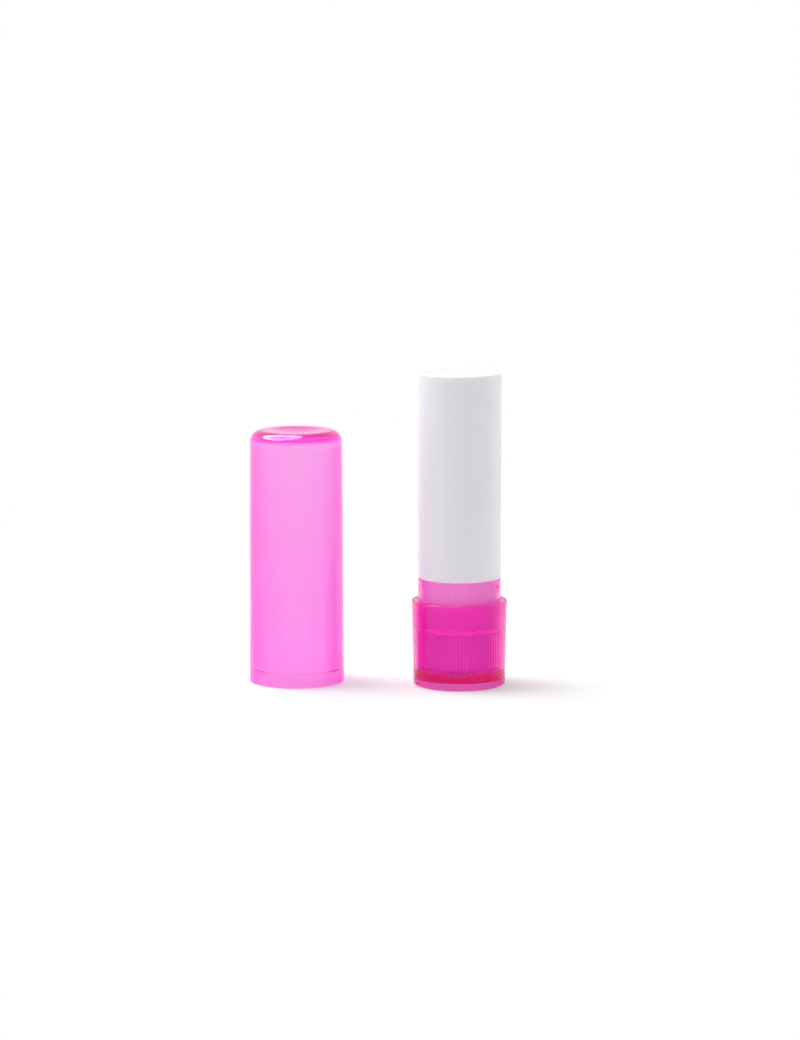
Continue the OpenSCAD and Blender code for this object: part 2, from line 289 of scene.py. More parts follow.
class LipBalmStage(bpy.types.PropertyGroup):
    """Camera, light and floor."""
    camera_x: coordinate("Camera X", "Place of the camera, to the right", -0.01183)
    camera_y: coordinate("Camera Y", "Place of the camera, to the back", -0.7628)
    camera_z: coordinate("Camera Z", "Height of the camera", 0.1477)
    camera_tilt: turn("Camera Tilt", "How far the camera looks down", 8.557)
    lens: FloatProperty(name="Lens", description="Focal length in millimetres, on a 36 mm frame",
                        default=134.43, min=1)
    floor_colour: colour("Floor Colour", "Colour of the floor", (0.82, 0.82, 0.82))
    floor_lift: level("Floor Lift", "Light that the floor gives off itself", 0.33)
    floor_drop: level("Floor Drop", "How much less of that light is seen through plastic", 0.14)
    floor_near: length("Floor Near", "Distance at which the floor starts to turn plain white", 90)
    floor_far: length("Floor Far", "Distance from which the floor is plain white", 240)
    floor_width: length("Floor Width", "Width of the floor", 4000)
    floor_gap: length("Floor Gap", "How far the floor lies under the pieces", 0.05)
    room_level: level("Room Level", "Brightness of the room at the horizon", 1.19)
    room_left: level("Room Left", "How much brighter the room is on the left", 0.06)
    room_back: level("Room Back", "How much brighter the room is at the back", 0.6)
    room_dim: level("Room Dim", "How much darker the room is overhead", 0.99)
    softbox_power: level("Softbox Power", "Power of the softbox, in watts", 8.5)
    softbox_size: length("Softbox Size", "Width of the round softbox", 700)
    softbox_far: length("Softbox Distance", "Distance of the softbox", 1200)
    softbox_turn: turn("Softbox Turn", "Direction of the softbox from the right, to the back", 162)
    softbox_height: turn("Softbox Height", "Height of the softbox above the horizon", 67)
    glint_power: level("Glint Power", "Power of the lamp that is only seen mirrored, in watts", 72)
    glint_colour: colour("Glint Colour", "Colour of that lamp, which makes a white highlight on "
                         "the pink shine", (0.6, 1.0, 0.72))
    glint_size: length("Glint Size", "Width of that lamp", 1300)


# Outlines, in the plane of radius and height


def rounded(corners, closed=False, step=radians(4), guard=0.08 * MM):
    """Points of an outline. A corner is (radius, height), or has its rounding as a third number.
    A guard point beside each rounding keeps the straight stretches flat when they are shaded."""
    points = []
    count = len(corners)
    for i, corner in enumerate(corners):
        here = Vector(corner[:2])
        rounding = corner[2] if len(corner) > 2 else 0
        if not rounding or (not closed and i in (0, count - 1)):
            points.append(here)
            continue
        before = Vector(corners[i - 1][:2]) - here
        after = Vector(corners[(i + 1) % count][:2]) - here
        inner = before.angle(after)
        reach = rounding / tan(inner / 2)
        start = here + before.normalized() * reach
        end = here + after.normalized() * reach
        centre = here + (before.normalized() + after.normalized()).normalized() * (
            rounding / sin(inner / 2))
        turning = pi - inner
        pieces = max(2, ceil(turning / step))
        first = start - centre
        side = 1 if first.x * (end - centre).y - first.y * (end - centre).x > 0 else -1
        if before.length > reach + 2 * guard:
            points.append(start + before.normalized() * guard)
        for k in range(pieces + 1):
            angle = side * turning * k / pieces
            points.append(centre + Vector((first.x * cos(angle) - first.y * sin(angle),
                                           first.x * sin(angle) + first.y * cos(angle))))
        if after.length > reach + 2 * guard:
            points.append(end + after.normalized() * guard)
    return points


def sagged(radius, rim, depth, pieces=10):
    """Points of a shallow dish, from its middle outwards. They stop short of its rim, to leave
    room for a rounding there."""
    return [(radius * k / pieces, rim - depth * (1 - (k / pieces) ** 2))
            for k in range(pieces - 1)]


def turned(name, outline, centre=Vector(), around=AROUND, closed=False):
    """A solid turned round the upright axis through centre. Its faces point outwards."""
    made = bmesh.new()
    rings = []
    for radius, height in outline:
        on_axis = radius < 1e-9
        rings.append([made.verts.new(centre + Vector((radius * cos(t), radius * sin(t), height)))
                      for t in ([0] if on_axis else [2 * pi * k / around for k in range(around)])])
    pairs = list(zip(rings, rings[1:]))
    if closed:
        pairs.append((rings[-1], rings[0]))
    for lower, upper in pairs:
        for k in range(around):
            after = (k + 1) % around
            corners = [lower[k % len(lower)], lower[after % len(lower)],
                       upper[after % len(upper)], upper[k % len(upper)]]
            made.faces.new(list(dict.fromkeys(corners)))
    if made.calc_volume(signed=True) < 0:
        bmesh.ops.reverse_faces(made, faces=made.faces)
    mesh = bpy.data.meshes.new(name)
    made.to_mesh(mesh)
    made.free()
    piece = bpy.data.objects.new(name, mesh)
    bpy.context.scene.collection.objects.link(piece)
    return piece


def smooth(piece, sharpest=radians(35)):
    """Shades a piece smooth, except over edges sharper than an angle."""
    piece.data.shade_smooth()
    piece.data.set_sharp_from_angle(angle=sharpest)


# Geometry Nodes


class Value:
    """A socket of a node tree, used in Python sums. Each sum adds its Math node."""

    def __init__(self, nodes, socket):
        self.nodes = nodes
        self.socket = socket

    def maths(self, operation, *others):
        """The result of a Math node that takes this value first."""
        return self.nodes.add(self.nodes.maths, {"operation": operation}, self, *others)

    def __add__(self, other):
        return self.maths("ADD", other)

    def __radd__(self, other):
        return self.maths("ADD", other)

    def __sub__(self, other):
        return self.maths("SUBTRACT", other)

    def __rsub__(self, other):
        return self.nodes.add(self.nodes.maths, {"operation": "SUBTRACT"}, other, self)

    def __mul__(self, other):
        return self.maths("MULTIPLY", other)

    def __rmul__(self, other):
        return self.maths("MULTIPLY", other)

    def __truediv__(self, other):
        return self.maths("DIVIDE", other)

    def __rtruediv__(self, other):
        return self.nodes.add(self.nodes.maths, {"operation": "DIVIDE"}, other, self)

    def __pow__(self, other):
        return self.maths("POWER", other)

    def __gt__(self, other):
        return self.maths("GREATER_THAN", other)

    def __lt__(self, other):
        return self.maths("LESS_THAN", other)

    def __getitem__(self, name):
        """Another output of the node that this value comes from."""
        return Value(self.nodes, self.socket.node.outputs[name])


class Nodes:
    """Adds nodes to a tree. Settings are made first, then sockets take values or links."""

    maths = "ShaderNodeMath"

    def __init__(self, tree):
        self.tree = tree

    def add(self, kind, settings=None, *values, **named):
        """Adds a node, whose sockets are fed in order or by name, and gives its first output."""
        node = self.tree.nodes.new(kind)
        for key, setting in (settings or {}).items():
            setattr(node, key, setting)
        for socket, value in zip(node.inputs, values):
            self.feed(socket, value)
        for key, value in named.items():
            self.feed(self.open_socket(node.inputs, key.replace("_", " ")), value)
        return Value(self, next((s for s in node.outputs if s.enabled), None))

    def scaled(self, vector, factor):
        """A vector or a colour times a number."""
        return self.add("ShaderNodeVectorMath", {"operation": "SCALE"}, vector, Scale=factor)

    @staticmethod
    def open_socket(sockets, name):
        """The socket of that name which the node's settings leave open."""
        return next(s for s in sockets if s.name == name and s.enabled)

    def feed(self, socket, value):
        """Links or sets a socket. None leaves it as it is."""
        if isinstance(value, Value):
            self.tree.links.new(value.socket, socket)
        elif value is not None:
            socket.default_value = value


def blend_step(nodes, value, start, end):
    """0 before start, 1 after end, and a soft step between them."""
    return nodes.add("ShaderNodeMapRange", {"interpolation_type": "SMOOTHSTEP", "clamp": True},
                     value, start, end, 0.0, 1.0)


def geometry_tree(name, numbers):
    """A Geometry Nodes tree that takes a mesh, the named numbers and a material, with its nodes
    and what it is given."""
    tree = bpy.data.node_groups.new(name, "GeometryNodeTree")
    tree.interface.new_socket("Geometry", in_out="INPUT", socket_type="NodeSocketGeometry")
    for label in numbers:
        tree.interface.new_socket(label, in_out="INPUT", socket_type="NodeSocketFloat")
    tree.interface.new_socket("Material", in_out="INPUT", socket_type="NodeSocketMaterial")
    tree.interface.new_socket("Geometry", in_out="OUTPUT", socket_type="NodeSocketGeometry")
    nodes = Nodes(tree)
    return tree, nodes, nodes.add("NodeGroupInput")


def close_tree(nodes, geometry, material):
    """Ends a tree in Realize Instances and Set Material."""
    real = nodes.add("GeometryNodeRealizeInstances", None, geometry)
    painted = nodes.add("GeometryNodeSetMaterial", None, real, None, material)
    nodes.add("NodeGroupOutput", None, painted)


def round_place(nodes, count, first_turn):
    """Radius and height of a point of the surface, its direction from the axis, and the angle
    from it to the nearest of count equal turns, the first one first_turn past the front."""
    place = nodes.add("GeometryNodeInputPosition")
    parts = nodes.add("ShaderNodeSeparateXYZ", None, place)
    across, along = parts["X"], parts["Y"]
    radius = (across * across + along * along) ** 0.5
    # 0 at the front, and growing towards the right
    angle = across.maths("ARCTAN2", along * -1.0) - first_turn
    pitch = 2 * pi / count
    nearest = (angle / pitch).maths("ROUND") * pitch
    outward = nodes.add("ShaderNodeCombineXYZ", None, across / radius, along / radius, 0.0)
    return radius, parts["Z"], outward, angle - nearest


def push_out(nodes, geometry, outward, distance):
    """Moves the surface along its radius."""
    step = nodes.scaled(outward, distance)
    return nodes.add("GeometryNodeSetPosition", None, geometry, None, None, step)


def between(nodes, height, foot, top, fade):
    """1 from foot to top and 0 elsewhere, coming in over the fade above the foot and going out
    over the fade above the top."""
    along = blend_step(nodes, height, foot, foot + fade)
    above = blend_step(nodes, height, top, top + fade)
    return along * (1.0 - above)


def sleeve_tree():
    """Pushes the press ribs and the cap's bumps out of a turned sleeve, and cuts its peg hole."""
    tree, nodes, given = geometry_tree("Sleeve Ribs and Bumps", (
        "Ribs", "Rib Rise", "Rib Foot", "Rib Top", "Rib Root",
        "Bumps", "Bump Turn", "Bump Middle", "Bump Width", "Bump Rise", "Peg Hole"))
    radius, height, outward, past = round_place(nodes, given["Ribs"], 0.0)
    slack = 0.05 * MM
    # A rib's section rises and falls with the turn, between a flat valley and a flat tip
    wave = (past * given["Ribs"]).maths("COSINE")
    valley, tip = -3 / 7, 9 / 14
    section = nodes.add("ShaderNodeMapRange", {"clamp": True}, wave, valley, tip, 0.0, 1.0)
    zone = between(nodes, height, given["Rib Foot"], given["Rib Top"], RIB_FADE)
    outside = radius > given["Rib Root"] - slack
    ribs = section * given["Rib Rise"] * outside * zone
    ribbed = push_out(nodes, given["Geometry"], outward, ribs)
    # A bump is the cap of a ball
    radius, height, outward, past = round_place(nodes, given["Bumps"], given["Bump Turn"])
    wide, rise = given["Bump Width"], given["Bump Rise"]
    ball = (wide * wide * 0.25 + rise * rise) / (rise * 2.0)
    sideways = past * radius
    upward = height - given["Bump Middle"]
    from_middle = sideways * sideways + upward * upward
    dome = (ball * ball - from_middle).maths("MAXIMUM", 0.0) ** 0.5 - (ball - rise)
    outside = radius > given["Rib Root"] - slack
    bumps = dome.maths("MAXIMUM", 0.0) * outside
    bumped = push_out(nodes, ribbed, outward, bumps)
    # The cutter reaches far past the floor on both sides
    cutter_height = 10 * MM
    hole = nodes.add("ShaderNodeCombineXYZ", None, given["Peg Hole"], given["Peg Hole"],
                     cutter_height)
    cutter = nodes.add("GeometryNodeMeshCube", None, hole)
    cut = nodes.add("GeometryNodeMeshBoolean", {"operation": "DIFFERENCE", "solver": "EXACT"},
                    bumped, cutter)
    close_tree(nodes, cut, given["Material"])
    return tree


def key_tree():
    """Pushes upright bars, equally spaced round the axis, in or out of a turned wall."""
    tree, nodes, given = geometry_tree("Upright Bars", (
        "Count", "Width", "Push", "Foot", "Top", "Radius"))
    radius, height, outward, past = round_place(nodes, given["Count"], 0.0)
    half = given["Width"] * 0.5
    flank = 0.12 * MM
    beside = (past * radius).maths("ABSOLUTE")
    across = 1.0 - blend_step(nodes, beside, half - flank, half + flank)
    zone = between(nodes, height, given["Foot"], given["Top"], KEY_FADE)
    slack = 0.02 * MM
    on_wall = (radius > given["Radius"] - slack) * (radius < given["Radius"] + slack)
    pushed = across * given["Push"] * zone * on_wall
    close_tree(nodes, push_out(nodes, given["Geometry"], outward, pushed), given["Material"])
    return tree


def apply_nodes(piece, tree, values):
    """Runs a tree on a piece with named values, and keeps the result as its plain mesh."""
    modifier = piece.modifiers.new(tree.name, "NODES")
    modifier.node_group = tree
    labels = {item.name: item.identifier for item in tree.interface.items_tree
              if item.in_out == "INPUT"}
    for label, value in values.items():
        modifier[labels[label]] = value
    bpy.context.view_layer.update()
    evaluated = piece.evaluated_get(bpy.context.evaluated_depsgraph_get())
    plain = bpy.data.meshes.new_from_object(evaluated)
    old = piece.data
    piece.modifiers.remove(modifier)
    plain.name = piece.name
    piece.data = plain
    bpy.data.meshes.remove(old)


# Materials


def new_material(name):
    """An empty material, and the nodes that build it."""
    material = bpy.data.materials.new(name)
    material.use_nodes = True
    material.node_tree.nodes.clear()
    return material, Nodes(material.node_tree)


def object_place(nodes):
    """Place of a point on a piece, in metres."""
    return nodes.add("ShaderNodeTexCoord")["Object"]


def noise(nodes, place, waves, detail=2.0):
    """Random variation between 0 and 1, with the given number of waves in a metre."""
    return nodes.add("ShaderNodeTexNoise", {"noise_dimensions": "3D"}, Vector=place,
                     Scale=waves, Detail=detail)["Fac"]


def from_axis(nodes, centre):
    """Distance of a point from the upright axis through centre."""
    parts = nodes.add("ShaderNodeSeparateXYZ", None, object_place(nodes))
    across, along = parts["X"] - centre.x, parts["Y"] - centre.y
    return (across * across + along * along) ** 0.5


def clear_plastic(name, centre, wall_middle, dye, density, rough, rims, painted_front_glow=0.0,
                  painted_side_glow=0.0, painted_side_shade=0.0, end_from=None, painted_shading=None):
    """Clear dyed plastic, whose depth of colour comes from the way of the light through it. It is
    polished outside and as rough as asked inside, where the radius is less than wall_middle. It is
    given painted glow, emission though it is no lamp: outside to the front and the sides, and at
    the heights of its rims, where it stands in for light that the wall has gathered. Painted
    shade, as strong as asked, dims what is seen through the sides. A closed end starts at
    end_from: it is thicker, so its surface is deeper in colour, and it is smoother inside. The
    function for painted shading gives painted shade over the surface by place."""
    plastic = bpy.context.scene.lip_balm_plastic
    material, nodes = new_material(name)
    place = object_place(nodes)
    height = nodes.add("ShaderNodeSeparateXYZ", None, place)["Z"]
    step = 0.15 * MM
    outside = blend_step(nodes, from_axis(nodes, centre), wall_middle - step, wall_middle)

    # A little unevenness in how rough each side is
    haze = noise(nodes, place, waves=900.0)
    inner_haze, outer_haze = 0.05, 0.03
    inner = haze * inner_haze + rough
    outer = haze * outer_haze + plastic.polish
    tint = (*plastic.tint, 1)
    if end_from is not None:
        end = blend_step(nodes, height, end_from - MM, end_from)
        inner = inner + end * (plastic.end_polish - rough)
        tint = nodes.add("ShaderNodeMix", {"data_type": "RGBA"},
                         Factor=blend_step(nodes, height, end_from, end_from + MM), A=tint,
                         B=(*plastic.end_tint, 1))
    roughness = inner + (outer - inner) * outside

    # 0 where one looks straight at the surface and 1 at its silhouette
    aside = nodes.add("ShaderNodeLayerWeight", None, 0.5)["Facing"]
    # Painted shade: the colour darkened towards the silhouette
    if painted_side_shade:
        tint = nodes.scaled(tint[:3], 1.0 - aside ** 2 * painted_side_shade * outside)
    # Painted shade by place, from the given function
    if painted_shading is not None:
        tint = nodes.scaled(tint[:3], painted_shading(nodes, centre, height))
    # Painted glow: emission on the outside, stronger to the front or at the sides
    painted_glow_level = (1.0 - aside) ** 0.5 * painted_front_glow + aside * painted_side_glow
    glow = nodes.scaled(tuple(plastic.glow), painted_glow_level * outside)
    # Painted glow at the heights of the rims, inside and out
    rim_start, rim_end = 0.15 * MM, 0.3 * MM
    for rim in rims:
        near = 1.0 - blend_step(nodes, (height - rim).maths("ABSOLUTE"), rim_start, rim_end)
        glow = nodes.add("ShaderNodeVectorMath", {"operation": "ADD"}, glow,
                         nodes.scaled(tuple(plastic.rim_glow), near))

    ripple = noise(nodes, place, waves=260.0, detail=1.0)
    bump = nodes.add("ShaderNodeBump", None, Strength=0.06, Distance=0.2 * MM, Height=ripple)
    shader = nodes.add(
        "ShaderNodeBsdfPrincipled", None, Base_Color=tint, Roughness=roughness, IOR=plastic.ior,
        Transmission_Weight=1.0, Normal=bump, Specular_Tint=(*plastic.shine, 1),
        Emission_Color=glow, Emission_Strength=1.0)
    depth = nodes.add("ShaderNodeVolumeAbsorption", None, Color=(*dye, 1), Density=density)
    nodes.add("ShaderNodeOutputMaterial", None, shader, depth)
    return material


def painted_valley_shade(nodes, centre, height):
    """Painted shade round the ribs: a thin dark line painted down each valley between two of them.
    """
    sleeve = bpy.context.scene.lip_balm_sleeve
    parts = nodes.add("ShaderNodeSeparateXYZ", None, object_place(nodes))
    angle = (parts["X"] - centre.x).maths("ARCTAN2", (parts["Y"] - centre.y) * -1.0)
    wave = (angle * float(sleeve.rib_count)).maths("COSINE")
    bottom, flank = -0.9, -0.2
    valley = 1.0 - blend_step(nodes, wave, bottom, flank)
    fade = 0.1 * MM
    zone = between(nodes, height, sleeve.rib_foot, sleeve.rib_top - fade, fade)
    return 1.0 - valley * zone * sleeve.mark


def white_plastic(name, base, satin, depth):
    """Opaque white plastic or wax, with a satin skin that light goes a little way into."""
    material, nodes = new_material(name)
    place = object_place(nodes)
    mottle = noise(nodes, place, waves=300.0, detail=3.0)
    skin = noise(nodes, place, waves=9000.0)
    darkest, unevenness = 0.985, 0.06
    tone = nodes.add("ShaderNodeMix", {"data_type": "RGBA"}, Factor=mottle,
                     A=(*(part * darkest for part in base), 1), B=(*base, 1))
    bump = nodes.add("ShaderNodeBump", None, Strength=0.05, Distance=0.02 * MM, Height=skin)
    shader = nodes.add(
        "ShaderNodeBsdfPrincipled", None, Base_Color=tone, Roughness=mottle * unevenness + satin,
        IOR=1.49, Subsurface_Weight=0.6, Subsurface_Radius=(1.0, 0.95, 0.9),
        Subsurface_Scale=depth, Normal=bump)
    nodes.add("ShaderNodeOutputMaterial", None, shader)
    return material


# Pieces


def show(piece, body, node, material=None):
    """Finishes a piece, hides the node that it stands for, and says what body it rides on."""
    if material is not None:
        piece.data.materials.clear()
        piece.data.materials.append(material)
    smooth(piece)
    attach(piece, body)
    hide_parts(node)


def body_of(node):
    """Name of the body that carries a node."""
    return frame["nodes"][node]["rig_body"]


class LIPBALM_OT_cap(bpy.types.Operator):
    """Turn the cap, with its round shoulder, dished end and the groove in its mouth"""
    bl_idname = "lip_balm.cap"
    bl_label = "Cap"

    def execute(self, context):
        cap = context.scene.lip_balm_cap
        top_radius = CAP_RADIUS - cap.taper
        low = cap.groove_middle - cap.groove_height / 2
        high = cap.groove_middle + cap.groove_height / 2
        ceiling = CAP_TOP - cap.end
        corners = [
            (cap.dish_radius, CAP_TOP, cap.lip),
            (top_radius, CAP_TOP, cap.shoulder),
            (CAP_RADIUS, CAP_FOOT, cap.edge),
            (CAP_BORE, CAP_FOOT, cap.edge / 2),
            (CAP_BORE, low, cap.groove_height / 3),
            (CAP_BORE + cap.groove_depth, cap.groove_middle, cap.groove_height / 2),
            (CAP_BORE, high, cap.groove_height / 3),
            (CAP_BORE, ceiling, cap.end_round),
            (0, ceiling),
        ]
        dish = sagged(cap.dish_radius, CAP_TOP, cap.dish_depth)
        outline = dish + rounded([dish[-1], *corners])[1:]
        piece = turned("cap_shell", outline, CAP_CENTRE)
        plastic = context.scene.lip_balm_plastic
        material = clear_plastic(
            "Clear pink cap", CAP_CENTRE, SHELL_MIDDLE, plastic.cap_dye, plastic.cap_density,
            plastic.frost, rims=(CAP_FOOT, CAP_TOP - cap.dish_depth), painted_side_glow=plastic.cap_glow,
            end_from=CAP_TOP - cap.shoulder)
        show(piece, body_of("cap"), "cap", material)
        return {"FINISHED"}


class LIPBALM_OT_cup(bpy.types.Operator):
    """Turn the grip cup, with its floor over the recess in its foot"""
    bl_idname = "lip_balm.cup"
    bl_label = "Grip Cup"

    def execute(self, context):
        cup = context.scene.lip_balm_cup
        sleeve = context.scene.lip_balm_sleeve
        seat = SLEEVE_FOOT - SEAT_GAP
        foot = CUP_RADIUS - cup.taper
        outline = rounded([
            (0, cup.recess),
            (foot - cup.ring, cup.recess, cup.floor_round),
            (foot - cup.ring, CUP_FOOT, cup.edge),
            (foot, CUP_FOOT, cup.foot_round),
            (CUP_RADIUS, CUP_TOP, cup.edge),
            (cup.rim_bore, CUP_TOP, cup.edge),
            (cup.bore, sleeve.band_top),
            (cup.bore, seat, cup.floor_round),
            (0, seat),
        ])
        piece = turned("grip_cup", outline)
        plastic = context.scene.lip_balm_plastic
        material = clear_plastic(
            "Clear magenta cup", CUP_CENTRE, SHELL_MIDDLE, plastic.cup_dye, plastic.cup_density,
            plastic.bore_polish, rims=(CUP_FOOT, CUP_TOP), painted_front_glow=plastic.cup_glow,
            painted_side_shade=plastic.cup_shade)
        show(piece, body_of("base_cup"), "base_cup", material)
        return {"FINISHED"}


class LIPBALM_OT_sleeve(bpy.types.Operator):
    """Turn the sleeve and push out its press ribs and bumps"""
    bl_idname = "lip_balm.sleeve"
    bl_label = "Ribbed Sleeve"

    def execute(self, context):
        sleeve = context.scene.lip_balm_sleeve
        barrel = context.scene.lip_balm_barrel
        floor = SLEEVE_FOOT + sleeve.floor - SEAT_GAP
        groove_radius = sleeve.bore + sleeve.bead_groove
        groove_foot = barrel.bead_foot - sleeve.bead_gap
        groove_top = barrel.bead_top + sleeve.bead_gap
        # A little more than half a bump, so the close rings go right over it
        reach = sleeve.bump_width * 0.6
        outline = rounded([
            (0, SLEEVE_FOOT),
            (sleeve.root, SLEEVE_FOOT, sleeve.edge),
            (sleeve.root, sleeve.rib_foot),
            (sleeve.root, sleeve.rib_foot + RIB_FADE),
            (sleeve.root, sleeve.rib_top),
            (sleeve.root, sleeve.rib_top + RIB_FADE),
            (sleeve.root, sleeve.band_top - sleeve.band_slope),
            (sleeve.collar, sleeve.band_top),
            (sleeve.collar, sleeve.bump_middle - reach),
            (sleeve.collar, sleeve.bump_middle + reach),
            (sleeve.collar, SLEEVE_TOP, sleeve.edge),
            (sleeve.bore, SLEEVE_TOP, sleeve.edge / 2),
            (sleeve.bore, groove_top + sleeve.bead_groove),
            (groove_radius, groove_top),
            (groove_radius, groove_foot),
            (sleeve.bore, groove_foot - sleeve.bead_groove),
            (sleeve.bore, floor, sleeve.edge),
            (0, floor),
        ], step=radians(9))
        outline = self.closer(outline, sleeve, reach)
        piece = turned("ribbed_sleeve", outline, around=RIB_AROUND * sleeve.rib_count)
        plastic = context.scene.lip_balm_plastic
        material = clear_plastic(
            "Clear pink sleeve", CUP_CENTRE, SLEEVE_MIDDLE, plastic.sleeve_dye,
            plastic.sleeve_density, plastic.frost, rims=(SLEEVE_TOP,),
            painted_front_glow=plastic.sleeve_glow, painted_shading=painted_valley_shade)
        apply_nodes(piece, sleeve_tree(), {
            "Ribs": float(sleeve.rib_count), "Rib Rise": sleeve.rib_rise,
            "Rib Foot": sleeve.rib_foot, "Rib Top": sleeve.rib_top, "Rib Root": sleeve.root,
            "Bumps": float(sleeve.bump_count), "Bump Turn": sleeve.bump_turn,
            "Bump Middle": sleeve.bump_middle, "Bump Width": sleeve.bump_width,
            "Bump Rise": sleeve.bump_rise, "Peg Hole": sleeve.peg_hole, "Material": material,
        })
        show(piece, body_of("inner_sleeve"), "inner_sleeve")
        return {"FINISHED"}

    @staticmethod
    def closer(outline, sleeve, reach):
        """The outline with rings close enough together on the collar for the bumps to be round."""
        ring_gap = 0.08 * MM
        low, high = sleeve.bump_middle - reach, sleeve.bump_middle + reach
        result = []
        for here, after in zip(outline, outline[1:] + outline[:1]):
            result.append(here)
            outside = min(here.x, after.x) > sleeve.collar - sleeve.edge / 10
            crosses = max(min(here.y, after.y), low) < min(max(here.y, after.y), high)
            if outside and crosses:
                pieces = ceil(abs(after.y - here.y) / ring_gap)
                result += [here.lerp(after, k / pieces) for k in range(1, pieces)]
        return result


class LIPBALM_OT_barrel(bpy.types.Operator):
    """Turn the white barrel and its spigot, with the keys down its bore"""
    bl_idname = "lip_balm.barrel"
    bl_label = "Barrel"

    def execute(self, context):
        barrel = context.scene.lip_balm_barrel
        bead_radius = barrel.spigot + barrel.bead_rise
        outline = rounded([
            (barrel.bore, BARREL_TOP, barrel.edge),
            (barrel.bore, barrel.key_top + KEY_FADE),
            (barrel.bore, barrel.key_top),
            (barrel.bore, SPIGOT_FOOT),
            (barrel.spigot, SPIGOT_FOOT, barrel.edge),
            (barrel.spigot, barrel.bead_foot - barrel.bead_rise),
            (bead_radius, barrel.bead_foot),
            (bead_radius, barrel.bead_top),
            (barrel.spigot, barrel.bead_top + barrel.bead_rise),
            (barrel.spigot, barrel.shoulder),
            (BARREL_RADIUS, barrel.shoulder, barrel.shoulder_edge),
            (BARREL_RADIUS, BARREL_TOP, barrel.edge),
        ], closed=True)
        piece = turned("barrel_tube", outline, around=KEYED_AROUND, closed=True)
        white = context.scene.lip_balm_white
        material = white_plastic("White barrel", white.barrel, white.barrel_satin,
                                 white.barrel_depth)
        apply_nodes(piece, key_tree(), {
            "Count": float(barrel.key_count), "Width": barrel.key_width,
            "Push": -barrel.key_rise, "Foot": SPIGOT_FOOT - MM, "Top": barrel.key_top,
            "Radius": barrel.bore, "Material": material,
        })
        show(piece, body_of("barrel"), "barrel")
        return {"FINISHED"}


class LIPBALM_OT_balm(bpy.types.Operator):
    """Cast the balm, with its plug, the grooves of the keys and a softly sunk top"""
    bl_idname = "lip_balm.balm"
    bl_label = "Balm"

    def execute(self, context):
        wax = context.scene.lip_balm_wax
        barrel = context.scene.lip_balm_barrel
        rim = barrel.bore - wax.rim_gap
        rim_top = BALM_TOP + wax.climb
        top = sagged(rim, rim_top, wax.dip)
        outline = top + rounded([
            top[-1],
            (rim, rim_top, wax.edge),
            (rim, BALM_TOP - wax.rim_height),
            (BALM_RADIUS, BALM_TOP - wax.rim_height - wax.rim_gap),
            (BALM_RADIUS, wax.groove_top + KEY_FADE),
            (BALM_RADIUS, wax.groove_top),
            (BALM_RADIUS, wax.seat),
            (wax.plug, wax.seat),
            (wax.plug, BALM_FOOT),
            (wax.screw_hole, BALM_FOOT),
            (wax.screw_hole, wax.screw_top),
            (0, wax.screw_top),
        ])[1:]
        piece = turned("balm_wax_stick", outline, around=KEYED_AROUND)
        white = context.scene.lip_balm_white
        material = white_plastic("White balm", white.wax, white.wax_satin, white.wax_depth)
        apply_nodes(piece, key_tree(), {
            "Count": float(barrel.key_count), "Width": wax.groove_width,
            "Push": -wax.groove_depth, "Foot": wax.seat - MM, "Top": wax.groove_top,
            "Radius": BALM_RADIUS, "Material": material,
        })
        show(piece, body_of("balm_stick"), "balm_stick")
        return {"FINISHED"}


class LIPBALM_OT_works(bpy.types.Operator):
    """Finish the lift screw and the balm carrier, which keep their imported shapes"""
    bl_idname = "lip_balm.works"
    bl_label = "Screw and Carrier"

    def execute(self, context):
        white = context.scene.lip_balm_white
        for node, tone, slot in (("lift_screw", white.screw, "screw_plastic"),
                                 ("balm_carrier", white.carrier, "carrier_plastic")):
            material = white_plastic("White " + node.replace("_", " "), tone, white.works_satin,
                                     white.works_depth)
            piece = frame["nodes"][node]
            for holder in piece.material_slots:
                holder.material = material
        return {"FINISHED"}


